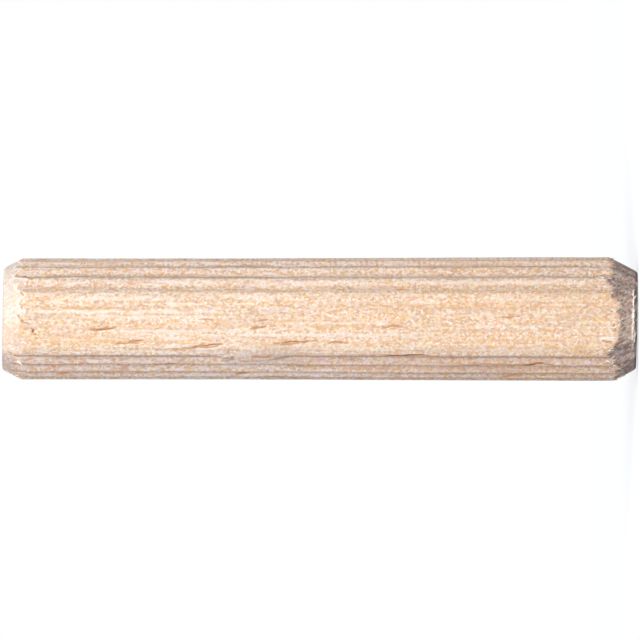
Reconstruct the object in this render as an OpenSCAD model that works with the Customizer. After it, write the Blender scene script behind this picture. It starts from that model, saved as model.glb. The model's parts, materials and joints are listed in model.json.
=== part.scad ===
// Fluted wooden dowel pin: one piece of round stock with straight flutes
// pressed along its whole length and a chamfer cut round both ends.
// It stands on its lower end at Z = 0, with its axis along +Z.

/* [Dowel] */
// Length from end face to end face
dowel_length = 40; // [20:0.5:60]
// Diameter over the crests that stand between the flutes
crest_d = 7.75; // [5.75:0.05:9.75]

/* [Flutes] */
// Number of flutes round the dowel
flute_count = 25; // [16:1:28]
// Width of a flute across its mouth
flute_width = 0.44; // [0.3:0.01:0.5]
// Depth of a flute below the crests
flute_depth = 0.16; // [0.08:0.01:0.22]
// Direction of the first flute, in degrees from +X
flute_start = 14; // [0:0.5:14]
// Furthest that a flute strays from even spacing, in degrees
flute_stray = 4; // [0:0.5:8]
// Direction in which the flutes stand furthest apart, in degrees from +X
widest_side = -55; // [-90:5:90]

/* [Flattened side] */
// Width, at the upper end, of the side that was left short of the full round
flat_width = 3; // [2.6:0.1:3.6]
// Depth of the middle of that side below the crests, at the upper end
flat_depth_upper = 0.12; // [0.02:0.01:0.14]
// Depth of the middle of that side below the crests, at the lower end
flat_depth_lower = 0.24; // [0.02:0.01:0.3]
// Direction that this side faces, in degrees from +X
flat_side = -92; // [-180:1:180]

/* [Ends] */
// Length of the chamfer at the lower end
lower_chamfer = 1.7; // [0.6:0.05:2.6]
// Length of the chamfer at the upper end
upper_chamfer = 1.3; // [0.6:0.05:2.6]
// Angle between a chamfer and the axis
chamfer_angle = 27.5; // [20:0.5:40]

/* [Hidden] */
$fn = 128;

crest_r = crest_d / 2;

// How far the middle of a chord of the given width lies below a circle.
function sag(r, width) = r - sqrt(r * r - width * width / 4);
// Radius of the arc that rises by the given height over a chord of the given width.
function arc_r(width, rise) = (width * width / 4 + rise * rise) / (2 * rise);

// A flute is an arc through both lips of its mouth and its own deepest point.
flute_r = arc_r(flute_width, flute_depth - sag(crest_r, flute_width));
flute_centre = crest_r - flute_depth + flute_r;

// The flattened side is part of a wider cylinder that leans, so that it cuts deeper at the lower end.
flat_r = arc_r(flat_width, sag(crest_r, flat_width) - flat_depth_upper);
flat_centre = crest_r - flat_depth_upper - flat_r;
flat_lean = atan((flat_depth_lower - flat_depth_upper) / dowel_length);

// What cuts the stock runs on past its wall and both its ends by this much.
overrun = crest_r / 4;
// Height that a chamfer's cone gains over that run.
cone_run = overrun / tan(chamfer_angle);
lower_end_r = crest_r - lower_chamfer * tan(chamfer_angle);
upper_end_r = crest_r - upper_chamfer * tan(chamfer_angle);

// Even spacing, with a stray that opens and closes it twice round the dowel.
function flute_angle(i) =
    let (even = flute_start + 360 * i / flute_count)
    even + flute_stray * sin(2 * (even - widest_side));

// Cross-section of the round stock, with every flute pressed into it.
module fluted_section() {
    difference() {
        circle(r = crest_r);
        for (i = [0 : flute_count - 1])
            rotate(flute_angle(i))
                translate([flute_centre, 0])
                    circle(r = flute_r);
    }
}

// Leaning cylinder whose wall is the flattened side of the dowel.
module flattened_stock() {
    rotate(flat_side)
        translate([flat_centre, 0, dowel_length])
            rotate([0, flat_lean, 0])
                translate([0, 0, -dowel_length - overrun])
                    cylinder(r = flat_r, h = dowel_length + 2 * overrun);
}

// Space between the end cuts: two flat end faces and the cones of both chamfers.
module end_cuts() {
    rotate_extrude()
        polygon([
            [0, 0],
            [lower_end_r, 0],
            [crest_r + overrun, lower_chamfer + cone_run],
            [crest_r + overrun, dowel_length - upper_chamfer - cone_run],
            [upper_end_r, dowel_length],
            [0, dowel_length]
        ]);
}

module dowel() {
    color("burlywood")
        intersection() {
            translate([0, 0, -overrun])
                linear_extrude(height = dowel_length + 2 * overrun)
                    fluted_section();
            flattened_stock();
            end_cuts();
        }
}

dowel();
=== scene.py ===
import json
import math
import random

import bpy
from mathutils import Matrix, Vector


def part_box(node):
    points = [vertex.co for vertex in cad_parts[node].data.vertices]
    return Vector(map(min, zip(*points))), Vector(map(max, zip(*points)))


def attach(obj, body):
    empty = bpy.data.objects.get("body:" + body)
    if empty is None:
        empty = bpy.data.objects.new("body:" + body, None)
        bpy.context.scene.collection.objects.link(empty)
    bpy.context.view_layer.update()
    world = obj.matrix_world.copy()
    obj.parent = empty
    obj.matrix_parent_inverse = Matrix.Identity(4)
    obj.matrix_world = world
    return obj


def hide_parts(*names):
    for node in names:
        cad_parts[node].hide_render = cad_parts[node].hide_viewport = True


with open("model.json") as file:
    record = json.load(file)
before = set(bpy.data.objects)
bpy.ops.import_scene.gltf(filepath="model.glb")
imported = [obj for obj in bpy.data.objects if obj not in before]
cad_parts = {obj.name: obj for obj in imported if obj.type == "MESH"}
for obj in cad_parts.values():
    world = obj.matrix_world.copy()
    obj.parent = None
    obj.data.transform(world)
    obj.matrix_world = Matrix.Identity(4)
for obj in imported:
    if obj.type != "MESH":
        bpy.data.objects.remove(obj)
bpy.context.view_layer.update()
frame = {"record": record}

scene = bpy.context.scene
scene.view_settings.view_transform = "Standard"

mm = 0.001
low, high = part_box("dowel")
dowelLength = (high.z - low.z) / mm
wallMount = next(m for m in frame["record"]["mounts"] if m["name"] == "dowel_wall")
crestRadius = wallMount["dims"]["r_mm"]
print(f"frame: dowel {dowelLength:.2f} mm long, {2 * crestRadius:.2f} mm over the crests")


# node sums written as plain expressions

class Wire:
    def __init__(self, bench, socket):
        self.bench = bench
        self.socket = socket

    def math(self, operation, *others):
        return self.bench.sum(operation, self, *others)

    def __add__(self, other):
        return self.bench.sum("ADD", self, other)

    def __sub__(self, other):
        return self.bench.sum("SUBTRACT", self, other)

    def __rsub__(self, other):
        return self.bench.sum("SUBTRACT", other, self)

    def __mul__(self, other):
        return self.bench.sum("MULTIPLY", self, other)

    def __truediv__(self, other):
        return self.bench.sum("DIVIDE", self, other)

    def __rtruediv__(self, other):
        return self.bench.sum("DIVIDE", other, self)

    def __neg__(self):
        return self.bench.sum("MULTIPLY", self, -1)

    __radd__ = __add__
    __rmul__ = __mul__

    # another output of the same node
    def beside(self, name):
        return Wire(self.bench, self.socket.node.outputs[name])


class NodeBench:
    def __init__(self, tree):
        self.tree = tree

    # any node: its type, its settings, which come first, then values or links for its sockets
    def put(self, kind, settings=None, sockets=None, out=0):
        node = self.tree.nodes.new(kind)
        for name, value in (settings or {}).items():
            setattr(node, name, value)
        for key, value in (sockets or {}).items():
            if isinstance(value, Wire):
                self.tree.links.new(value.socket, node.inputs[key])
            else:
                node.inputs[key].default_value = value
        return Wire(self, node.outputs[out]) if node.outputs else None

    def sum(self, operation, *values):
        return self.put("ShaderNodeMath", {"operation": operation}, dict(enumerate(values)))

    def mixColor(self, share, first, second, blend="MIX"):
        settings = {"data_type": "RGBA", "blend_type": blend}
        return self.put("ShaderNodeMix", settings, {0: share, 6: first, 7: second}, out=2)

    def scaled(self, place, factors):
        return self.put("ShaderNodeVectorMath", {"operation": "MULTIPLY"}, {0: place, 1: factors})

    # 0 at start, 1 at end, eased
    def between(self, value, start, end):
        settings = {"interpolation_type": "SMOOTHSTEP"}
        return self.put("ShaderNodeMapRange", settings, {0: value, 1: start, 2: end, 3: 0.0, 4: 1.0})

    def noise(self, place, seed, detail=2.0, lean=0.0):
        sockets = {"Vector": place, "W": seed, "Scale": 1.0, "Detail": detail, "Distortion": lean}
        return self.put("ShaderNodeTexNoise", {"noise_dimensions": "4D"}, sockets)

    def named(self, name, kind="FLOAT"):
        return self.put("GeometryNodeInputNamedAttribute", {"data_type": kind}, {"Name": name})

    # 1 for what the camera sees, straight or mirrored
    def seenRay(self):
        path = self.put("ShaderNodeLightPath", out="Is Camera Ray")
        mirrored = path.beside("Is Glossy Ray").math("MAXIMUM", path.beside("Is Transmission Ray"))
        return path.math("MAXIMUM", mirrored)

    def store(self, geometry, name, value):
        return self.put("GeometryNodeStoreNamedAttribute", {"data_type": "FLOAT", "domain": "POINT"},
                        {"Geometry": geometry, "Name": name, "Value": value})


# raw beech, coloured by where the point lies and by what the mesh says of it

beechLook = {
    "white": (1.0, 0.93, 0.84, 1),
    "body": (0.91, 0.67, 0.475, 1),
    "orange": (0.84, 0.47, 0.21, 1),
    "grey": (0.60, 0.41, 0.30, 1),
    "pink": (0.90, 0.57, 0.48, 1),
    "yellow": (1.0, 0.78, 0.40, 1),
    "dull": (0.80, 0.80, 0.84, 1),           # painted shade, multiplies the sides away from the front
    "crest": (1.06, 1.10, 1.17, 1),          # painted highlight, multiplies the crests between the flutes
    "groove": (0.85, 0.84, 0.87, 1),         # painted shade, multiplies the bottoms of the flutes
    "tearOrange": (0.62, 0.32, 0.16, 1),
    "tearBrown": (0.24, 0.10, 0.05, 1),
    "bruise": (0.60, 0.47, 0.38, 1),
    "upperCut": (0.775, 0.67, 0.585, 1),
    # painted shade on the lower part of the upper cut's front
    "upperCutShaded": (0.665, 0.55, 0.485, 1),
    "lowerCut": (0.775, 0.63, 0.575, 1),
    "pore": (0.46, 0.31, 0.25, 1),
    "rim": (0.34, 0.32, 0.33, 1),
    "pith": (7.0, 4.0, 0.0),                 # middle of the growth rings, outside this dowel
    "ringWidth": 1.3,
    "speckSize": (0.16, 0.15),               # across and along the grain, as the next ones
    "dashSize": (0.17, 1.0),
    "threadSize": (0.30, 7.0),
    "toneSize": (1.8, 10.0),
    "spotSize": (0.16, 0.21),
    "flakeSize": (0.16, 0.24),
    "bandSize": (0.24, 7.0),
    "hueSize": (0.16, 0.20),
    "lipSize": (0.4, 0.8),
    "poreSize": (0.13, 0.2, 0.32),           # along the three axes of the slant
    "scratchSize": (0.13, 1.2, 1.1),
    "endFlat": (3.1, 2.9),                   # radius where the flat of an end begins
    "pressedPitch": 0.33,                    # marks along the outermost ridge
    "pressedFrom": (3.2, 3.5),               # how far off the axis they begin
    "scratchSlant": math.radians(38),
    "footRim": 0.18,                         # height of the dark rim, painted shade
    "burrBand": 0.14,                        # width of the painted highlight on the burr above it
    "headRim": (0.12, 0.05),                 # from the upper end, where its grey edge starts and is full
    "bumpStrength": 0.6,
    "bumpDepth": 0.07,
    "gloss": 0.25,
    "roughness": 0.78,
    "seed": 3.0,
}


def makeBeech(look, footSkew):
    material = bpy.data.materials.new("rawBeech")
    material.use_nodes = True
    material.node_tree.nodes.clear()
    bench = NodeBench(material.node_tree)
    grain = bench.scaled(bench.put("ShaderNodeTexCoord", out="Object"), (1 / mm,) * 3)
    place = bench.put("ShaderNodeSeparateXYZ", None, {0: grain})
    height = place.beside("Z")
    offAxis = bench.put("ShaderNodeVectorMath", {"operation": "LENGTH"},
                        {0: bench.scaled(grain, (1, 1, 0))}, out="Value")
    face = bench.between(offAxis, *look["endFlat"])
    ahead = bench.between(place.beside("Y"), -0.3, -1.3)     # front of the dowel
    frontCut = ahead * (1 - face)

    def patch(size, step, detail=1.0, lean=0.0):
        across, along = size
        spread = bench.scaled(grain, (1 / across, 1 / across, 1 / along))
        return bench.noise(spread, look["seed"] + step, detail, lean=lean)

    def mark(name):
        return bench.put("ShaderNodeAttribute", {"attribute_name": name}, out="Fac")

    tear, streak, cut = mark("tear"), mark("streak"), mark("cut")
    bruise, dull, burr, edge = mark("bruise"), mark("dull"), mark("burr"), mark("edge")
    groove = mark("groove")

    # long-grain side: pale, orange and grey specks, longer dashes towards the top, slow changes of tone
    speck = patch(look["speckSize"], 1, detail=0.0, lean=0.6)
    dash = patch(look["dashSize"], 2)
    thread = patch(look["threadSize"], 3, detail=2.0)
    tone = patch(look["toneSize"], 4)
    hue = patch(look["hueSize"], 10, detail=0.0, lean=0.4)
    foot = bench.between(height, 0.7 * dowelLength, 0.25 * dowelLength)
    side = bench.mixColor(bench.between(speck, 0.45, 0.60), look["body"], look["white"])
    spot = patch(look["spotSize"], 5, detail=0.0, lean=0.5) * 0.75 + thread * 0.25
    side = bench.mixColor(bench.between(spot, 0.50, 0.62) * (0.9 + foot * 0.1), side, look["orange"])
    flake = bench.between(patch(look["flakeSize"], 6, detail=0.0), 0.55, 0.68)
    side = bench.mixColor(flake * (0.8 + foot * 0.1), side, look["grey"])
    side = bench.mixColor(bench.between(dash, 0.52, 0.64) * (0.75 - foot * 0.55), side, look["white"])
    side = bench.mixColor((tone - 0.42).math("MAXIMUM", 0.0) * 0.7 + foot * 0.08, side, look["orange"])
    side = bench.mixColor(bench.between(patch(look["bandSize"], 9), 0.50, 0.62) * 0.3, side, look["grey"])

    # fluted sides: painted highlight on the crests, painted shade in the grooves and on their flanks, a row
    # of pressed marks on the outermost ridge
    fluted = bench.between(dull, 0.0, 0.3) * (0.6 + dull * 0.4)
    side = bench.mixColor((1 - groove) * fluted, side, look["crest"], "MULTIPLY")
    grooveShade = groove * bench.between(dull, 0.0, 0.3) * (0.25 + dull * 0.75)
    side = bench.mixColor(grooveShade, side, look["groove"], "MULTIPLY")
    # painted shade on the flanks of the flutes, on the sides away from the front
    flankShade = groove * (1 - groove) * 4 * bench.between(dull, 0.5, 1.0)
    side = bench.mixColor(flankShade * 0.55, side, look["groove"], "MULTIPLY")
    pressed = (height * (math.tau / look["pressedPitch"]) + tone * 12).math("SINE")
    pressed = bench.between(pressed, 0.0, 0.9) * bench.between(place, *look["pressedFrom"])
    side = bench.mixColor(pressed * (0.2 + foot * 0.2), side, look["white"])

    # cut ends: growth rings, open pores and tool scratches, browner at the foot
    slant = bench.put("ShaderNodeVectorRotate", {"rotation_type": "Y_AXIS"},
                      {"Vector": grain, "Angle": look["scratchSlant"]})
    pores = bench.scaled(slant, tuple(1 / side for side in look["poreSize"]))
    pore = bench.noise(pores, look["seed"] + 7, detail=0.0)
    scratches = bench.scaled(slant, tuple(1 / side for side in look["scratchSize"]))
    scratch = bench.noise(scratches, look["seed"] + 8)
    fromPith = bench.put("ShaderNodeVectorMath", {"operation": "DISTANCE"},
                         {0: bench.scaled(grain, (1, 1, 0)), 1: look["pith"]}, out="Value")
    ring = ((fromPith + tone * 0.6) * (math.tau / look["ringWidth"])).math("SINE") * 0.5 + 0.5
    # painted shade: the front of the upper cut darker, then greyer, towards its lower side
    ends = bench.mixColor(bench.between(place, 0.4, -1.0) * frontCut, look["upperCut"], look["upperCutShaded"])
    ends = bench.mixColor(bench.between(place, -2.0, -2.6) * frontCut * 0.65, ends, look["grey"])
    ends = bench.mixColor(foot, ends, look["lowerCut"])
    ends = bench.mixColor(ring * ring * (0.1 + foot * 0.2 + face * 0.3), ends, look["orange"])
    ends = bench.mixColor(bench.between(speck, 0.46, 0.64) * (0.5 + foot * 0.3), ends, look["white"])
    ends = bench.mixColor(bench.between(pore, 0.48, 0.62) * (0.25 + foot * 0.75), ends, look["pore"])
    scratchTone = bench.mixColor(foot, look["orange"], look["pore"])
    ends = bench.mixColor(bench.between(scratch, 0.52, 0.66) * (0.15 + foot * 0.45), ends, scratchTone)

    # rims: a pale burr with a painted highlight and a dark edge of painted shade at the foot, a thin grey
    # edge at the top
    fromFoot = height - (crestRadius - place) * footSkew
    rim, band = look["footRim"], look["burrBand"]
    line = bench.between(fromFoot, rim, rim + 0.03) * bench.between(fromFoot, rim + band, rim + band - 0.04)
    # painted highlight along the burr ridge
    ends = bench.mixColor(line * burr, ends, look["white"])
    # painted shade: a dark edge along the foot
    ends = bench.mixColor(bench.between(fromFoot, rim, rim - 0.04) * (0.6 + pore * 0.6), ends, look["rim"])
    headRim = bench.between(height, *(dowelLength - under for under in look["headRim"]))
    ends = bench.mixColor(headRim * 0.4, ends, look["rim"])

    # pale lip on the cut and a browner one on the side, where they meet
    lip = bench.between(edge, 0.0, 0.02) * bench.between(edge, 0.16, 0.06) * (1 - foot)
    ends = bench.mixColor(lip * bench.between(place, -0.6, 0.4) * 0.6, ends, look["white"])
    lip = bench.between(edge, -0.11, -0.03) * bench.between(patch(look["lipSize"], 12), 0.42, 0.55)
    side = bench.mixColor(lip * 0.6, side, look["orange"])

    # the lower part of the upper cut keeps the tone of the side
    smeared = bench.between(place, 0.2, -0.8) * bench.between(place, -2.5, -2.1) * frontCut * (1 - foot)
    color = bench.mixColor(cut * (1 - smeared * 0.35), side, ends)
    color = bench.mixColor(streak.math("MAXIMUM", 0.0) * 0.6, color, look["orange"])
    # pale streaks, and the painted highlights below the tears
    color = bench.mixColor((-streak).math("MAXIMUM", 0.0) * 0.8, color, look["white"])
    tinted = 0.32 + cut * (foot * 0.35 - 0.1)
    color = bench.mixColor(bench.between(hue, 0.52, 0.60) * tinted, color, look["pink"])
    yellowed = bench.between(hue, 0.48, 0.40) * tinted * (1 - cut * foot * 0.6)
    color = bench.mixColor(yellowed, color, look["yellow"])
    clean = cut * (1 - foot) * (1 - bench.between(place, -1.6, -2.4) * ahead)
    # painted shade: darker on the sides away from the front, most on the side that is down in the frame
    color = bench.mixColor(dull * (1 - clean * 0.8), color, look["dull"], "MULTIPLY")
    color = bench.mixColor(bruise * (0.45 + bench.between(speck, 0.55, 0.42) * 0.3), color, look["bruise"])
    # where a bruise is strongest it turns dark: in the dent this is painted shadow beside its raised lip,
    # elsewhere bruised wood
    color = bench.mixColor(bench.between(bruise, 0.9, 1.6) * 0.7, color, look["pore"])
    color = bench.mixColor(bench.between(tear, 0.05, 0.40) * 0.9, color, look["tearOrange"])
    color = bench.mixColor(bench.between(tear, 0.5, 1.0), color, look["tearBrown"])

    rough = speck * 0.4 + dash * 0.4 + thread * 0.3 + scratch * cut * 0.5
    bump = bench.put("ShaderNodeBump", None, {
        "Strength": look["bumpStrength"], "Distance": look["bumpDepth"] * mm, "Height": rough})
    shader = bench.put("ShaderNodeBsdfPrincipled", None, {
        "Base Color": color,
        "Roughness": look["roughness"] + (speck - 0.5) * 0.2,
        "Specular IOR Level": look["gloss"],
        "Normal": bump,
    })
    bench.put("ShaderNodeOutputMaterial", None, {"Surface": shader})
    print("material: raw beech")
    return material


# dowel stock: fluted, flattened on one side, chamfered, torn along the grain; millimetres inside the tree

dowelShape = {
    "around": 400,           # faces of the mesh
    "along": 230,
    "rings": 5,
    "endCrowd": 0.37,        # how far the rows crowd towards the ends
    "sharpAngle": math.radians(50),
    "Flute count": 25.0,     # this and the rest are inputs of the tree
    "Flute depth": 0.17,
    "Flute uneven": 1.3,
    "Flank from": 0.03,      # from the middle of a crest
    "Flank share": 0.92,     # of half the pitch
    "First flute": math.radians(14.5),
    "Flute twist": math.radians(1.6),        # over the length
    "Flute stray": math.radians(4),
    "Flute wander": 0.05,
    "Widest side": math.radians(-55),
    "Worn side": math.radians(-108),
    "Worn from": math.radians(11),
    "Worn to": math.radians(30),
    "Worn left": 0.1,        # share of the flute depth left there
    "Upper dull": 0.4,       # on the side that is up in the frame, and on the back
    "Lower dull": 1.0,       # on the side that is down in the frame
    "Flat width": 3.4,
    "Flat depth up": 0.16,
    "Flat depth low": 0.25,
    "Flat side": math.radians(-92),
    "Lower chamfer": 1.7,
    "Upper chamfer": 1.3,
    "Chamfer angle": math.radians(27.5),
    "Lower ragged": 0.2,
    "Upper ragged": 0.08,
    "Burr middle": math.radians(5),          # round from the front
    "Burr from": 0.5,
    "Burr to": 0.66,
    "Burr ridge": 0.08,
    "Burr height": 0.25,
    "Burr half": 0.09,
    "Foot swell": 0.085,
    "Waist": 0.06,
    "Foot cut aside": 0.10,  # how far the lower chamfer is off the axis
    "Foot cut proud": 0.06,
    "Foot skew": 0.017,
    "Upper skew": 0.018,
    "Arris": 0.05,
    "Tear width": 0.075,
    "Tear depth": 0.06,
    "Streak width": 0.13,
    "Relief": 0.02,
    "Seed": 11.0,
}

# tears seen from the front: height and offset of the middle, run, drift over the run, strength
frontTears = [
    (33.7, -0.67, 2.0, 0.26, 0.9), (32.0, -1.50, 1.8, 0.14, 1.1), (27.3, -1.74, 2.7, 0.24, 1.0),
    (28.7, -1.93, 1.1, 0.15, 0.6),
    (23.9, -0.55, 1.2, 0.32, 0.8), (23.6, -0.14, 0.9, 0.02, 0.5), (21.5, -1.50, 3.1, 0.32, 0.9),
    (18.9, -1.56, 1.6, 0.00, 0.7), (23.7, -2.44, 1.5, 0.12, 0.9), (15.4, -0.54, 2.1, 0.12, 0.55),
    (14.5, -2.33, 3.0, 0.00, 1.5), (8.9, -2.88, 6.8, 0.00, 0.6), (6.4, -2.88, 2.4, 0.00, 1.3),
    (14.9, 2.00, 0.8, 0.00, 0.6), (15.5, 2.64, 1.8, 0.00, 0.5), (8.0, 0.18, 1.6, 0.05, 0.6),
    (24.8, -3.60, 1.2, 0.03, 0.8), (22.2, -3.70, 4.1, 0.00, 0.5), (36.2, -3.64, 0.7, 0.00, 0.7),
    (8.0, -3.67, 1.6, 0.00, 0.8), (27.2, -0.01, 1.3, 0.00, 0.4), (29.6, -2.88, 1.3, 0.00, 0.8),
    (39.27, -2.48, 0.94, -0.30, 0.7), (38.3, -2.68, 0.9, 0.0, 0.45), (38.98, 0.14, 0.19, -0.38, 0.6),
    (38.72, -0.15, 0.34, -0.21, 0.7), (38.41, -0.32, 0.34, -0.17, 0.5), (38.05, -0.76, 0.25, -0.55, 1.2),
    (38.40, 2.74, 0.57, -0.60, 1.5), (16.2, -0.58, 0.6, 0.12, 0.7), (10.6, -2.45, 0.2, -0.5, 0.5),
    (38.8, 1.71, 0.32, -0.38, 0.6), (38.8, 0.83, 0.19, -0.38, 0.5), (1.15, -1.65, 1.1, 0.55, 0.9),
    (0.6, -1.95, 0.2, -0.35, 0.6), (1.61, 0.45, 0.2, 0.2, 0.7), (1.49, -0.43, 0.15, 0.3, 0.9),
    (1.43, -0.75, 0.12, 0.3, 0.9), (1.61, 1.40, 0.12, 0.25, 0.8), (1.11, 1.84, 0.12, 0.15, 0.8),
    (1.95, -1.38, 1.0, 0.0, 0.5), (15.0, -2.40, 1.8, 0.0, 1.4),
]
tearLook = {
    "step": 0.1,             # between the points of a line
    "waver": 0.05,           # how far a point strays from its line
    "strands": 3,            # thinner ones beside each long tear
    "strandLeast": 0.9,      # run of a tear that has them
    "strandPart": (0.3, 0.7),
    "strandAside": (0.03, 0.08),
    "strandStrength": 0.5,
    "otherTears": 24,        # round the sides that face away
    "otherEnds": 3,          # kept clear at both ends
    "otherSides": (math.radians(-15), math.radians(195)),
    "otherRun": (0.7, 3.4),
    "otherDrift": (-0.2, 0.3),
    "otherStrength": (0.4, 1),
    "smallTears": 380,
    "smallEnds": 1.5,
    "smallRun": (0.25, 0.8),
    "smallDrift": (-0.08, 0.08),
    "smallStrength": (0.06, 0.26),
    "seed": 5,
}

# streaks of the grain seen from the front, listed like the tears: orange above zero, pale below
frontStreaks = [
    (32.6, 0.71, 12.0, 0.0, 0.8), (32.6, 0.48, 12.0, 0.0, -1.0), (31.5, 0.14, 10.0, 0.0, -0.7),
    (33.0, 1.34, 9.0, 0.0, -0.7), (32.0, -0.64, 9.0, 0.0, 0.4), (32.6, -1.46, 11.0, 0.1, 1.1),
    (19.0, -0.11, 9.0, 0.0, 0.4), (18.5, -0.30, 8.0, 0.0, -0.5), (19.0, -0.49, 9.0, 0.1, 0.7),
    (19.0, -1.58, 9.0, 0.1, 0.6), (19.0, -1.90, 8.0, 0.1, -0.6), (20.0, 2.32, 9.0, 0.0, -0.6),
    (8.0, 1.53, 9.0, 0.0, 0.5), (8.0, 1.25, 8.0, 0.0, -0.5), (8.0, 1.03, 9.0, 0.0, 0.6),
    (8.0, 0.37, 7.0, 0.0, -0.4), (8.5, 0.14, 8.0, 0.0, 0.5), (8.0, -0.55, 8.0, 0.0, -0.5),
    (8.0, -0.74, 9.0, 0.0, 0.7), (8.5, -1.81, 10.0, 0.0, 1.0), (8.0, -2.00, 8.0, 0.0, -0.5),
    (39.05, -2.85, 0.4, 0.0, -1.0), (39.0, 3.45, 0.5, 0.0, -0.8), (14.9, 0.08, 1.3, 0.1, 1.0),
    (14.9, -0.07, 1.6, 0.1, 1.0), (15.0, -0.22, 1.6, 0.1, 1.0), (15.1, -0.36, 1.2, 0.1, 0.9),
    (15.95, -0.33, 0.7, 0.15, -1.0), (2.0, -1.26, 1.1, 0.0, -1.0), (9.0, 2.32, 12.0, 0.0, -0.8),
    (8.5, 0.80, 11.0, 0.0, 0.5),
]
streakLook = {
    "step": 0.3,
    "waver": 0.04,
    "others": 110,           # all round
    "otherEnds": 7,          # kept clear at both ends
    "otherRun": (3, 14),
    "otherDrift": (-0.1, 0.1),
    "otherStrength": (0.2, 0.7),
    "highlightTears": (0.65, 0.9), # strength and run above which a tear gets a painted highlight below it
    "highlightBelow": 0.13,
    "highlightShift": 0.15,        # as shares of the tear's run
    "highlightRun": 0.7,
    "highlightStrength": -0.9,
    "seed": 6,
}

# bruises: height, offset, half run, half width, lean, strength, dent, smearing of the flutes
bruises = [
    # the first is the dent, whose dark mark is painted shadow; the second raises its lip
    (25.53, -2.60, 0.42, 0.30, 2.5, 2.0, 0.10, 0.0), (26.0, -2.55, 0.40, 0.30, 0.0, 0.0, -0.05, 0.0),
    (22.9, -2.35, 3.0, 0.90, 0.0, 0.9, 0.0, 0.0), (39.4, -2.75, 0.7, 0.50, 0.0, 0.0, 0.06, 0.0),
    (24.3, -2.40, 2.3, 0.60, 0.0, 0.3, 0.0, 1.6),
]

# chips along the chamfers: end, degrees round from the front, half angle, added reach, share of the slope
chips = [
    ("lower", 37, 14, 0.30, 1.0), ("lower", -38, 12, 0.50, 1.0), ("lower", 2, 26, 0.16, 1.0),
    ("lower", 150, 14, 0.50, 1.0), ("upper", 41, 6, 0.65, 0.5), ("upper", 10, 30, 0.38, 1.0),
    ("upper", -18, 18, 0.80, 0.45), ("upper", 170, 18, 0.60, 0.7),
]
front = -math.pi / 2
waveRate = 2.2               # how fast a line wavers along its run


def frontAngle(offset):
    return front + math.asin(offset / crestRadius)


# polylines lying on the round of the dowel, each with its strength
def drawLines(name, runs, look, chance):
    points, edges, strengths = [], [], []
    for middle, angle, run, drift, strength in runs:
        count = max(3, round(math.hypot(run, drift) / look["step"]))
        phases = [chance.uniform(0, math.tau) for _ in range(3)]
        for i in range(count + 1):
            along = i / count - 0.5
            waves = sum(math.sin(k * along * run * waveRate + phases[k - 1]) / k for k in (1, 2, 3))
            turn = angle + (waves * look["waver"] - along * drift) / crestRadius
            if i:
                edges.append((len(points) - 1, len(points)))
            across, ahead = math.cos(turn), math.sin(turn)
            points.append((crestRadius * across, crestRadius * ahead, middle + along * run))
            strengths.append(strength * (1 - abs(2 * along) ** 3))
    mesh = bpy.data.meshes.new(name)
    mesh.from_pydata(points, edges, [])
    mesh.attributes.new("strength", "FLOAT", "POINT").data.foreach_set("value", strengths)
    lines = bpy.data.objects.new(name, mesh)
    scene.collection.objects.link(lines)
    print(f"{name}: {len(runs)} drawn")
    return lines


def onFront(listed):
    return [(up, frontAngle(offset), *rest) for up, offset, *rest in listed]


def drawTears(look):
    chance = random.Random(look["seed"])
    tears = onFront(frontTears)
    for _ in range(look["otherTears"]):
        up = chance.uniform(look["otherEnds"], dowelLength - look["otherEnds"])
        angle = chance.uniform(*look["otherSides"])
        tears.append((up, angle, chance.uniform(*look["otherRun"]), chance.uniform(*look["otherDrift"]),
                      chance.uniform(*look["otherStrength"])))
    for up, angle, run, drift, strength in tears[:]:
        for _ in range(look["strands"] if run > look["strandLeast"] and drift else 0):
            part = chance.uniform(*look["strandPart"])
            shift = chance.uniform(-0.5, 0.5) * (1.3 - part) * run
            aside = chance.choice((-1, 1)) * chance.uniform(*look["strandAside"]) - drift * shift / run
            tears.append((up + shift, angle + aside / crestRadius, run * part, drift * part,
                          strength * look["strandStrength"]))
    for _ in range(look["smallTears"]):
        up = chance.uniform(look["smallEnds"], dowelLength - look["smallEnds"])
        angle = chance.uniform(-math.pi, math.pi)
        tears.append((up, angle, chance.uniform(*look["smallRun"]), chance.uniform(*look["smallDrift"]),
                      chance.uniform(*look["smallStrength"])))
    return drawLines("tears", tears, look, chance)


# streaks all round, and a painted highlight below each long, strong tear of the front
def drawStreaks(look):
    chance = random.Random(look["seed"])
    streaks = onFront(frontStreaks)
    leastStrength, leastRun = look["highlightTears"]
    for up, angle, run, drift, strength in onFront(frontTears):
        if strength > leastStrength and run > leastRun:
            below = angle - look["highlightBelow"] / crestRadius
            shift = run * look["highlightShift"]
            streaks.append((up - shift, below, run * look["highlightRun"], drift, look["highlightStrength"]))
    for _ in range(look["others"]):
        up = chance.uniform(look["otherEnds"], dowelLength - look["otherEnds"])
        angle, run = chance.uniform(-math.pi, math.pi), chance.uniform(*look["otherRun"])
        drift = chance.uniform(*look["otherDrift"])
        strength = chance.choice((-1, 1)) * chance.uniform(*look["otherStrength"])
        streaks.append((up, angle, run, drift, strength))
    return drawLines("streaks", streaks, look, chance)


def addInputs(tree, values):
    tree.interface.new_socket("Geometry", in_out="OUTPUT", socket_type="NodeSocketGeometry")
    settings = {}
    for name, value in values.items():
        socket = tree.interface.new_socket(name, in_out="INPUT", socket_type="NodeSocketFloat")
        settings[socket.identifier] = value
    return settings


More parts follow.
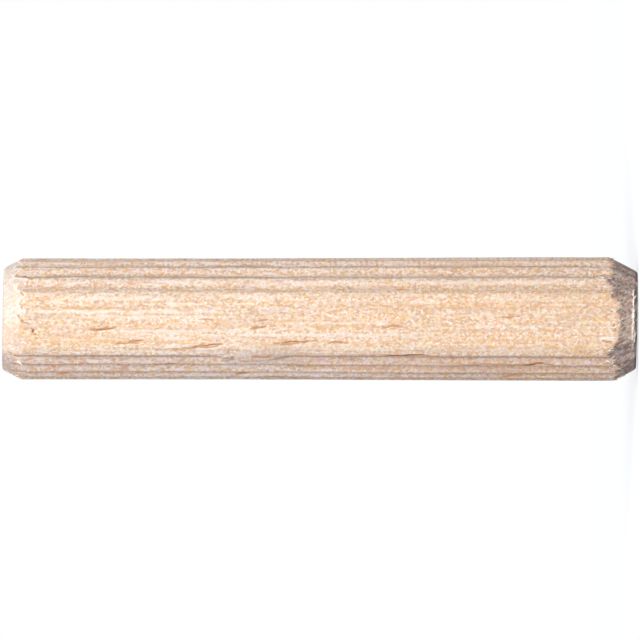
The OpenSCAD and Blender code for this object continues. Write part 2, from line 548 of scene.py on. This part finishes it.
def dowelTree(shape, values, tears, streaks, material):
    tree = bpy.data.node_groups.new("flutedStock", "GeometryNodeTree")
    settings = addInputs(tree, values)
    bench = NodeBench(tree)
    given = bench.put("NodeGroupInput")
    size = {name: given.beside(name) for name in values}

    wood = bench.put("GeometryNodeMeshCylinder", {"fill_type": "TRIANGLE_FAN"}, {
        "Vertices": shape["around"], "Side Segments": shape["along"],
        "Fill Segments": shape["rings"], "Radius": 1.0, "Depth": 1.0})
    parts = bench.put("ShaderNodeSeparateXYZ", None, {0: bench.put("GeometryNodeInputPosition")})
    x, y, rise = parts, parts.beside("Y"), parts.beside("Z") + 0.5
    turn = y.math("ARCTAN2", x)
    reach = (x * x + y * y).math("SQRT")      # 1 on the side, less on the end faces
    share = rise
    for waves in (1, 2):
        share = share - (rise * (waves * math.tau)).math("SINE") * (shape["endCrowd"] / (waves * math.tau))
    up = size["Length"] * share
    crest = size["Crest radius"]
    girth = crest - size["Waist"] + size["Foot swell"] * bench.between(share, 0.72, 0.02)
    onRound = bench.put("ShaderNodeCombineXYZ", None, {
        0: turn.math("COSINE") * crest, 1: turn.math("SINE") * crest, 2: up})

    def grainNoise(across, along, step, detail=2.0):
        place = bench.scaled(onRound, (1 / across, 1 / across, 1 / along))
        return bench.noise(place, size["Seed"] + step, detail) - 0.5

    # how far round from a given side, from -pi to pi
    def roundFrom(side):
        return (turn - side).math("WRAP", math.pi, -math.pi)

    def bump(value):
        return (1 - value * value).math("MAXIMUM", 0.0)

    # where this point is within its flute, from -0.5 to 0.5
    twisted = turn - size["Flute twist"] * (share - 0.5) + grainNoise(2.0, 4.0, 11) * size["Flute wander"]
    even = twisted
    for _ in range(4):
        even = twisted - ((even - size["Widest side"]) * 2).math("SINE") * size["Flute stray"]
    within = ((even - size["First flute"]) * size["Flute count"] / math.tau + 0.5).math("FRACT") - 0.5
    stretch = 1 + ((even - size["Widest side"]) * 2).math("COSINE") * size["Flute stray"] * 2
    pitch = crest * math.tau / size["Flute count"] * stretch
    fromCrest = (0.5 - within.math("ABSOLUTE")) * pitch
    hollow = bench.between(fromCrest, size["Flank from"], pitch * 0.5 * size["Flank share"])
    fromWorn = roundFrom(size["Worn side"]).math("ABSOLUTE")
    unworn = bench.between(fromWorn, size["Worn from"], size["Worn to"])
    wornLeft = size["Worn left"]
    fluteDepth = size["Flute depth"] * (1 + grainNoise(1.2, 4.0, 1) * size["Flute uneven"])
    fluteDepth = fluteDepth * (wornLeft + unworn * (1 - wornLeft))

    # flattened side, deeper towards the foot
    halfAngle = (size["Flat width"] * 0.5 / crest).math("ARCSINE")
    flatDepth = size["Flat depth low"] + (size["Flat depth up"] - size["Flat depth low"]) * share
    dip = bump(roundFrom(size["Flat side"]) / halfAngle)
    flatness = dip * dip * (3 - dip * 2)

    # nearness to the lines laid on the round, by their strength
    def nearLine(lines, width, uneven):
        drawn = bench.put("GeometryNodeObjectInfo", None, {"Object": lines}, out="Geometry")
        distance = bench.put("GeometryNodeProximity", {"target_element": "EDGES"},
                             {"Geometry": drawn, "Sample Position": onRound}, out="Distance")
        strength = bench.named("strength")
        nearest = bench.put("GeometryNodeSampleNearest", {"domain": "POINT"},
                            {"Geometry": drawn, "Sample Position": onRound})
        strength = bench.put("GeometryNodeSampleIndex", {"data_type": "FLOAT", "domain": "POINT"},
                             {"Geometry": drawn, "Value": strength, "Index": nearest})
        return bump((distance + uneven * width).math("MAXIMUM", 0.0) / width) * strength

    wood = bench.store(wood, "tear", nearLine(tears, size["Tear width"], grainNoise(0.12, 0.25, 8) * 1.4))
    wood = bench.store(wood, "streak", nearLine(streaks, size["Streak width"], grainNoise(0.2, 0.8, 9)))
    torn = bench.named("tear")

    bruised, dented, smeared = 0.0, 0.0, 0.0
    for middle, offset, halfRun, halfWide, lean, level, dent, smear in bruises:
        along = up - middle
        aside = roundFrom(frontAngle(offset)) * crest - along * lean
        spot = bump(along / halfRun) * bump(aside / halfWide)
        bruised = (spot * level).math("MAXIMUM", bruised)
        dented = spot * dent + dented
        smeared = spot * smear + smeared
    bruised = bruised * (1 + grainNoise(0.2, 0.4, 7) * 1.8)

    # both sides of the flat get painted shade and deeper flutes, the lower one most, and the back like the
    # upper one
    aslant = roundFrom(size["Flat side"])
    dull = 0.0
    behind = size["Upper dull"]
    for way, most in ((1, behind), (-1, size["Lower dull"])):
        away = aslant * way
        level = behind + bench.between(away, 2.9, 2.0) * (most - behind)
        dull = bench.between(away, halfAngle * 0.95, halfAngle * 1.6) * level + dull

    relief = grainNoise(0.25, 1.6, 2) * 1.6 + grainNoise(0.9, 4.0, 3) * 1.2
    fluted = fluteDepth * hollow * (1 + dull * 0.7) * (1 - smeared.math("MINIMUM", 1.0))
    body = girth - flatDepth * flatness - fluted
    body = body + relief * size["Relief"] - torn * size["Tear depth"] - dented

    # chamfer cones, uneven where the cutter tore the fibres, and the chips beside them
    slope = size["Chamfer angle"].math("TANGENT")
    down = size["Length"] - up
    aside = size["Foot cut proud"] - turn.math("COSINE") * size["Foot cut aside"]
    lower = crest - (size["Lower chamfer"] - up) * slope
    upper = crest - (size["Upper chamfer"] - down) * slope
    lowerArris = crest - size["Lower chamfer"] * slope + aside - size["Arris"] + up
    upperArris = crest - size["Upper chamfer"] * slope - size["Arris"] + down
    for end, degrees, halfWide, added, part in chips:
        local = bump(roundFrom(front + math.radians(degrees)) / math.radians(halfWide)) * added
        if end == "lower":
            lower = lower.math("MINIMUM", crest - (size["Lower chamfer"] + local - up) * slope * part)
        else:
            upper = upper.math("MINIMUM", crest - (size["Upper chamfer"] + local - down) * slope * part)
    # flutes pressed on over the lower chamfer, on one side
    overEdge = bench.between(turn.math("COSINE"), 0.5, 0.75) * 0.5
    lower = lower + aside + grainNoise(0.22, 2.0, 4, 3.0) * size["Lower ragged"] - fluted * overEdge
    upper = upper + grainNoise(0.35, 3.0, 6, 3.0) * size["Upper ragged"]
    cone = lower.math("MINIMUM", upper)
    arris = lowerArris.math("MINIMUM", upperArris)
    cut = bench.between(body - cone, -0.01, 0.03).math("MAXIMUM", bench.between(reach, 0.999, 0.99))
    ragged = bench.between(grainNoise(0.5, 3.0, 10), -0.1, 0.04)
    fromBurr = roundFrom(front + size["Burr middle"]).math("ABSOLUTE")
    burr = bench.between(fromBurr, size["Burr to"], size["Burr from"]) * ragged
    ridge = burr * bump((up - size["Burr height"]) / size["Burr half"]) * size["Burr ridge"]
    radius = body.math("SMOOTH_MIN", cone + ridge, 0.02 + dull * 0.05)
    radius = radius.math("SMOOTH_MIN", arris, 0.015)

    wood = bench.store(wood, "cut", cut)
    wood = bench.store(wood, "edge", body - cone)
    wood = bench.store(wood, "groove", hollow * (1 - smeared.math("MINIMUM", 1.0)))
    wood = bench.store(wood, "dull", dull * bench.between(reach, 0.9, 0.999))
    wood = bench.store(wood, "bruise", bruised)
    wood = bench.store(wood, "burr", burr)
    spread = radius * reach * mm
    across = turn.math("COSINE") * radius * reach
    skewed = across * size["Upper skew"] * bench.between(share, 0.9, 1.0)
    skewed = skewed + (across - crest) * size["Foot skew"] * bench.between(share, 0.1, 0.0)
    where = bench.put("ShaderNodeCombineXYZ", None, {
        0: turn.math("COSINE") * spread, 1: turn.math("SINE") * spread,
        2: (up - skewed) * mm})
    wood = bench.put("GeometryNodeSetPosition", None, {"Geometry": wood, "Position": where})
    wood = bench.put("GeometryNodeRealizeInstances", None, {"Geometry": wood})
    wood = bench.put("GeometryNodeSetMaterial", None, {"Geometry": wood, "Material": material})
    bench.put("NodeGroupOutput", None, {0: wood})
    return tree, settings


def makeByNodes(name, tree, settings):
    holder = bpy.data.objects.new(name + "Holder", bpy.data.meshes.new(name + "Holder"))
    scene.collection.objects.link(holder)
    modifier = holder.modifiers.new(name, "NODES")
    modifier.node_group = tree
    for identifier, value in settings.items():
        modifier[identifier] = value
    depsgraph = bpy.context.evaluated_depsgraph_get()
    mesh = bpy.data.meshes.new_from_object(holder.evaluated_get(depsgraph), depsgraph=depsgraph)
    holder.modifiers.remove(modifier)
    bpy.data.objects.remove(holder)
    mesh.name = name
    mesh.polygons.foreach_set("use_smooth", [True] * len(mesh.polygons))
    mesh.set_sharp_from_angle(angle=dowelShape["sharpAngle"])
    piece = bpy.data.objects.new(name, mesh)
    scene.collection.objects.link(piece)
    mesh.calc_loop_triangles()
    print(f"{name}: {len(mesh.vertices)} points, {len(mesh.loop_triangles)} triangles")
    return piece


beech = makeBeech(beechLook, dowelShape["Foot skew"])
stockValues = {"Length": dowelLength, "Crest radius": crestRadius}
stockValues.update({name: value for name, value in dowelShape.items() if name[0].isupper()})
tears, streaks = drawTears(tearLook), drawStreaks(streakLook)
dowel = makeByNodes("fluted_dowel", *dowelTree(dowelShape, stockValues, tears, streaks, beech))
for lines in (tears, streaks):
    bpy.data.objects.remove(lines)
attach(dowel, "root")
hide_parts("dowel")


# fibres left standing along the edges of the cuts, fuzz on the flattened side, splinters and the burr

fibreLook = {
    "color": (1.0, 0.96, 0.90, 1),
    "bodyShare": 0.3,        # of the wood's own colour
    "patchesPerMm": 3,
    "roughness": 0.7,
    "Sides": 5.0,
    "Steps": 4.0,
    "Curl": 1.0,
    "tip": 0.15,             # share of the radius left there
    "sunk": 0.5,             # share of the radius that the root is sunk by
    "count": 130,
    "lowerShare": 0.8,       # of them at the foot
    "length": (0.08, 0.36),
    "thick": (0.014, 0.045), # radius at the root
    "lift": (-0.08, 0.05),
    "fuzz": 420,             # finer ones lying on the flattened side
    "fuzzLength": (0.15, 0.45),
    "fuzzThick": (0.010, 0.018),
    "fuzzSpread": 0.33,      # round from the front
    "fuzzRise": (1.2, 2.2),  # more of them in the lower half
    "fuzzLift": 0.03,
    "fuzzStray": 0.9,
    "burr": 70,              # pushed up along the lower rim
    "burrHeight": 0.28,
    "burrLength": (0.10, 0.40),
    "burrThick": (0.045, 0.08),
    "burrFrom": (-0.65, 0.62),
    "burrTilt": (-0.15, 0.15),
    "burrLift": 0.05,
    "edge": (0.15, 0.7),     # how far into the cut a fibre may stand
    "stray": 0.5,
    "seed": 8,
}
# listed splinters: height and offset of the root, length, radius there, lift, sideways lean
splinters = [
    (2.35, -1.30, 1.25, 0.08, 0.10, -0.15), (1.60, -0.62, 0.45, 0.06, 0.15, -0.6),
    (16.45, -0.40, 0.7, 0.09, 0.10, -0.12), (2.65, 2.60, 0.35, 0.06, 0.10, -0.8),
    (2.40, 2.80, 0.35, 0.06, 0.10, 0.9), (2.15, 2.10, 0.45, 0.06, 0.15, 1.0),
    (1.70, 0.70, 0.35, 0.05, 0.2, 0.6), (1.55, 0.45, 0.3, 0.05, 0.2, -0.7),
    (2.0, -2.66, 0.3, 0.08, 0.1, 0.2), (39.15, -2.78, 0.45, 0.09, 0.70, 0.1),
]


def makeFibreMaterial(look):
    material = bpy.data.materials.new("paleFibre")
    material.use_nodes = True
    material.node_tree.nodes.clear()
    bench = NodeBench(material.node_tree)
    place = bench.scaled(bench.put("ShaderNodeTexCoord", out="Object"), (look["patchesPerMm"] / mm,) * 3)
    share = bench.noise(place, look["seed"]) * look["bodyShare"]
    color = bench.mixColor(share, look["color"], beechLook["body"])
    shader = bench.put("ShaderNodeBsdfPrincipled", None,
                       {"Base Color": color, "Roughness": look["roughness"]})
    bench.put("ShaderNodeOutputMaterial", None, {"Surface": shader})
    return material


def fibreSpots(look, wood):
    chance = random.Random(look["seed"])
    mesh = wood.data
    cut = [0.0] * len(mesh.vertices)
    mesh.attributes["cut"].data.foreach_get("value", cut)
    least, most = look["edge"]
    edge = [v for v, level in zip(mesh.vertices, cut) if least < level < most]
    foot = [v for v in edge if v.co.z < dowelLength / 2 * mm]
    head = [v for v in edge if v.co.z >= dowelLength / 2 * mm]
    roots = []
    for _ in range(look["count"]):
        atFoot = chance.random() < look["lowerShare"]
        vertex = chance.choice(foot if atFoot else head)
        roots.append((vertex.co, vertex.normal, -1 if atFoot else 1, chance.uniform(*look["length"]),
                      chance.uniform(*look["thick"]), chance.uniform(*look["lift"]),
                      chance.gauss(0, look["stray"])))

    def onWood(angle, up, reach=crestRadius):
        outside = Vector((math.cos(angle) * reach, math.sin(angle) * reach, up)) * mm
        _, place, normal, _ = wood.closest_point_on_mesh(outside)
        return place, normal

    for up, offset, long, thick, lift, lean in splinters:
        roots.append((*onWood(frontAngle(offset), up), -1, long, thick, lift, lean))
    for _ in range(look["fuzz"]):
        angle = chance.gauss(front, look["fuzzSpread"])
        spot = onWood(angle, dowelLength * chance.betavariate(*look["fuzzRise"]))
        roots.append((*spot, chance.choice((-1, 1)), chance.uniform(*look["fuzzLength"]),
                      chance.uniform(*look["fuzzThick"]), look["fuzzLift"],
                      chance.gauss(0, look["fuzzStray"])))
    slope = math.tan(dowelShape["Chamfer angle"])
    rimReach = crestRadius - (dowelShape["Lower chamfer"] - look["burrHeight"]) * slope
    for _ in range(look["burr"]):
        spot = onWood(front + chance.uniform(*look["burrFrom"]), look["burrHeight"], rimReach)
        roots.append((*spot, chance.uniform(*look["burrTilt"]), chance.uniform(*look["burrLength"]),
                      chance.uniform(*look["burrThick"]), look["burrLift"], chance.choice((-1, 1))))
    spots = bpy.data.meshes.new("fibreSpots")
    places, aims, sizes = [], [], []
    for place, normal, way, long, thick, lift, stray in roots:
        places.append(place - normal * thick * look["sunk"] * mm)
        across = normal.cross(Vector((0, 0, 1))) * stray
        aims.extend((Vector((0, 0, way)) + normal * lift + across).normalized())
        sizes.extend((thick * mm, thick * mm, long * mm))
    spots.from_pydata(places, [], [])
    spots.attributes.new("aim", "FLOAT_VECTOR", "POINT").data.foreach_set("vector", aims)
    spots.attributes.new("size", "FLOAT_VECTOR", "POINT").data.foreach_set("vector", sizes)
    holder = bpy.data.objects.new("fibreSpots", spots)
    scene.collection.objects.link(holder)
    return holder


def fibreTree(look, spots, material):
    tree = bpy.data.node_groups.new("standingFibres", "GeometryNodeTree")
    settings = addInputs(tree, {name: look[name] for name in ("Sides", "Steps", "Curl")})
    bench = NodeBench(tree)
    given = bench.put("NodeGroupInput")
    sliver = bench.put("GeometryNodeMeshCone", None, {
        "Vertices": given.beside("Sides"), "Side Segments": given.beside("Steps"),
        "Radius Top": look["tip"], "Radius Bottom": 1.0, "Depth": 1.0})
    rise = bench.put("ShaderNodeSeparateXYZ", None, {0: bench.put("GeometryNodeInputPosition")}, out="Z")
    bend = bench.put("ShaderNodeCombineXYZ", None, {0: rise * rise * given.beside("Curl")})
    sliver = bench.put("GeometryNodeSetPosition", None, {"Geometry": sliver, "Offset": bend})

    points = bench.put("GeometryNodeObjectInfo", None, {"Object": spots}, out="Geometry")
    aim = bench.named("aim", "FLOAT_VECTOR")
    turned = bench.put("FunctionNodeAlignRotationToVector", {"axis": "Z"}, {"Vector": aim})
    fibres = bench.put("GeometryNodeInstanceOnPoints", None, {
        "Points": points, "Instance": sliver, "Rotation": turned,
        "Scale": bench.named("size", "FLOAT_VECTOR")})
    fibres = bench.put("GeometryNodeRealizeInstances", None, {"Geometry": fibres})
    fibres = bench.put("GeometryNodeSetMaterial", None, {"Geometry": fibres, "Material": material})
    bench.put("NodeGroupOutput", None, {0: fibres})
    return tree, settings


spots = fibreSpots(fibreLook, dowel)
fibres = makeByNodes("standing_fibres", *fibreTree(fibreLook, spots, makeFibreMaterial(fibreLook)))
bpy.data.objects.remove(spots)
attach(fibres, "root")


# floor, light and camera

studio = {
    "floorSide": 8.0,
    "floorSeen": 0.83,       # what the camera sees of the floor's own colour, white in this light
    "floorBounce": 0.22,     # what the dowel gets back from it
    "floorLift": 0.6,        # share of plain white over that near the dowel, all of it further off
    "liftFrom": 0.06,
    "liftTo": 0.35,
    "skyLight": 0.52,
    "skyTint": (0.91, 0.97, 1.13, 1),
    "lampDistance": 0.6,
    "lampSize": 0.25,
    "keyFrom": (0.02, -0.75, 0.68),
    "keyLevel": 0.98,
    "keyTint": (1.0, 0.985, 0.955),
    "backFrom": (-0.05, 0.85, 0.35),
    "backLevel": 0.45,
}


def makeFloor(values):
    half = values["floorSide"] / 2
    mesh = bpy.data.meshes.new("floor")
    corners = [(-half, -half, 0), (half, -half, 0), (half, half, 0), (-half, half, 0)]
    mesh.from_pydata(corners, [], [(0, 1, 2, 3)])
    floor = bpy.data.objects.new("floor", mesh)
    scene.collection.objects.link(floor)
    material = bpy.data.materials.new("paleFloor")
    material.use_nodes = True
    material.node_tree.nodes.clear()
    bench = NodeBench(material.node_tree)
    seen = bench.seenRay()
    bounce, shown = ((values[name],) * 3 + (1,) for name in ("floorBounce", "floorSeen"))
    matte = bench.put("ShaderNodeBsdfDiffuse", None, {"Color": bench.mixColor(seen, bounce, shown)})
    white = bench.put("ShaderNodeEmission")
    away = bench.put("ShaderNodeVectorMath", {"operation": "LENGTH"},
                     {0: bench.put("ShaderNodeTexCoord", out="Object")}, out="Value")
    far = bench.between(away, values["liftFrom"], values["liftTo"])
    lift = values["floorLift"] + far * (1 - values["floorLift"])
    surface = bench.put("ShaderNodeMixShader", None, {0: seen * lift, 1: matte, 2: white})
    bench.put("ShaderNodeOutputMaterial", None, {"Surface": surface})
    mesh.materials.append(material)


def makeSky(values):
    world = bpy.data.worlds.new("studioSky")
    scene.world = world
    world.use_nodes = True
    world.node_tree.nodes.clear()
    bench = NodeBench(world.node_tree)
    seen = bench.seenRay()
    tint = bench.mixColor(seen, values["skyTint"], (1, 1, 1, 1))
    level = seen + (1 - seen) * values["skyLight"]
    sky = bench.put("ShaderNodeBackground", None, {"Color": tint, "Strength": level})
    bench.put("ShaderNodeOutputWorld", None, {"Surface": sky})


def makeLamp(name, side, level, tint, values):
    light = bpy.data.lights.new(name, "AREA")
    light.size = values["lampSize"]
    light.color = tint
    light.energy = level * math.pi ** 2 * values["lampDistance"] ** 2
    lamp = bpy.data.objects.new(name, light)
    scene.collection.objects.link(lamp)
    away = Vector(side).normalized()
    lamp.location = Vector((0, 0, dowelLength / 2 * mm)) + away * values["lampDistance"]
    lamp.rotation_euler = away.to_track_quat("Z", "Y").to_euler()


view = {
    "distance": 1.2,         # much further off, a turned view would clip the dowel away
    "sensorWidth": 36,
    "clipEnd": 20,
    "frameSide": 639,        # pixels
    "dowelFrom": 3.24,       # upper end of the dowel in the frame, pixels from the left
    "dowelTo": 637.68,       # lower end
    "axisRow": 318.95,       # pixels from the top
}


def makeCamera(values):
    pixel = dowelLength * mm / (values["dowelTo"] - values["dowelFrom"])
    middle = values["frameSide"] / 2
    lens = bpy.data.cameras.new("camera")
    lens.sensor_width = values["sensorWidth"]
    lens.lens = lens.sensor_width * values["distance"] / (pixel * values["frameSide"])
    lens.clip_end = values["clipEnd"]
    camera = bpy.data.objects.new("camera", lens)
    scene.collection.objects.link(camera)
    # the dowel stands, so the camera lies on its side: frame right is down, frame up is +X
    right, above, back = Vector((0, 0, -1)), Vector((1, 0, 0)), Vector((0, -1, 0))
    camera.matrix_world = Matrix((right, above, back)).transposed().to_4x4()
    upperEnd = Vector((0, 0, dowelLength * mm))
    aim = upperEnd + right * (middle - values["dowelFrom"]) * pixel
    aim = aim + above * (values["axisRow"] - middle) * pixel
    camera.location = aim + back * values["distance"]
    scene.camera = camera


makeFloor(studio)
makeSky(studio)
makeLamp("keyLamp", studio["keyFrom"], studio["keyLevel"], studio["keyTint"], studio)
makeLamp("backLamp", studio["backFrom"], studio["backLevel"], (1, 1, 1), studio)
makeCamera(view)
print("stage: floor, sky, two lamps and camera")
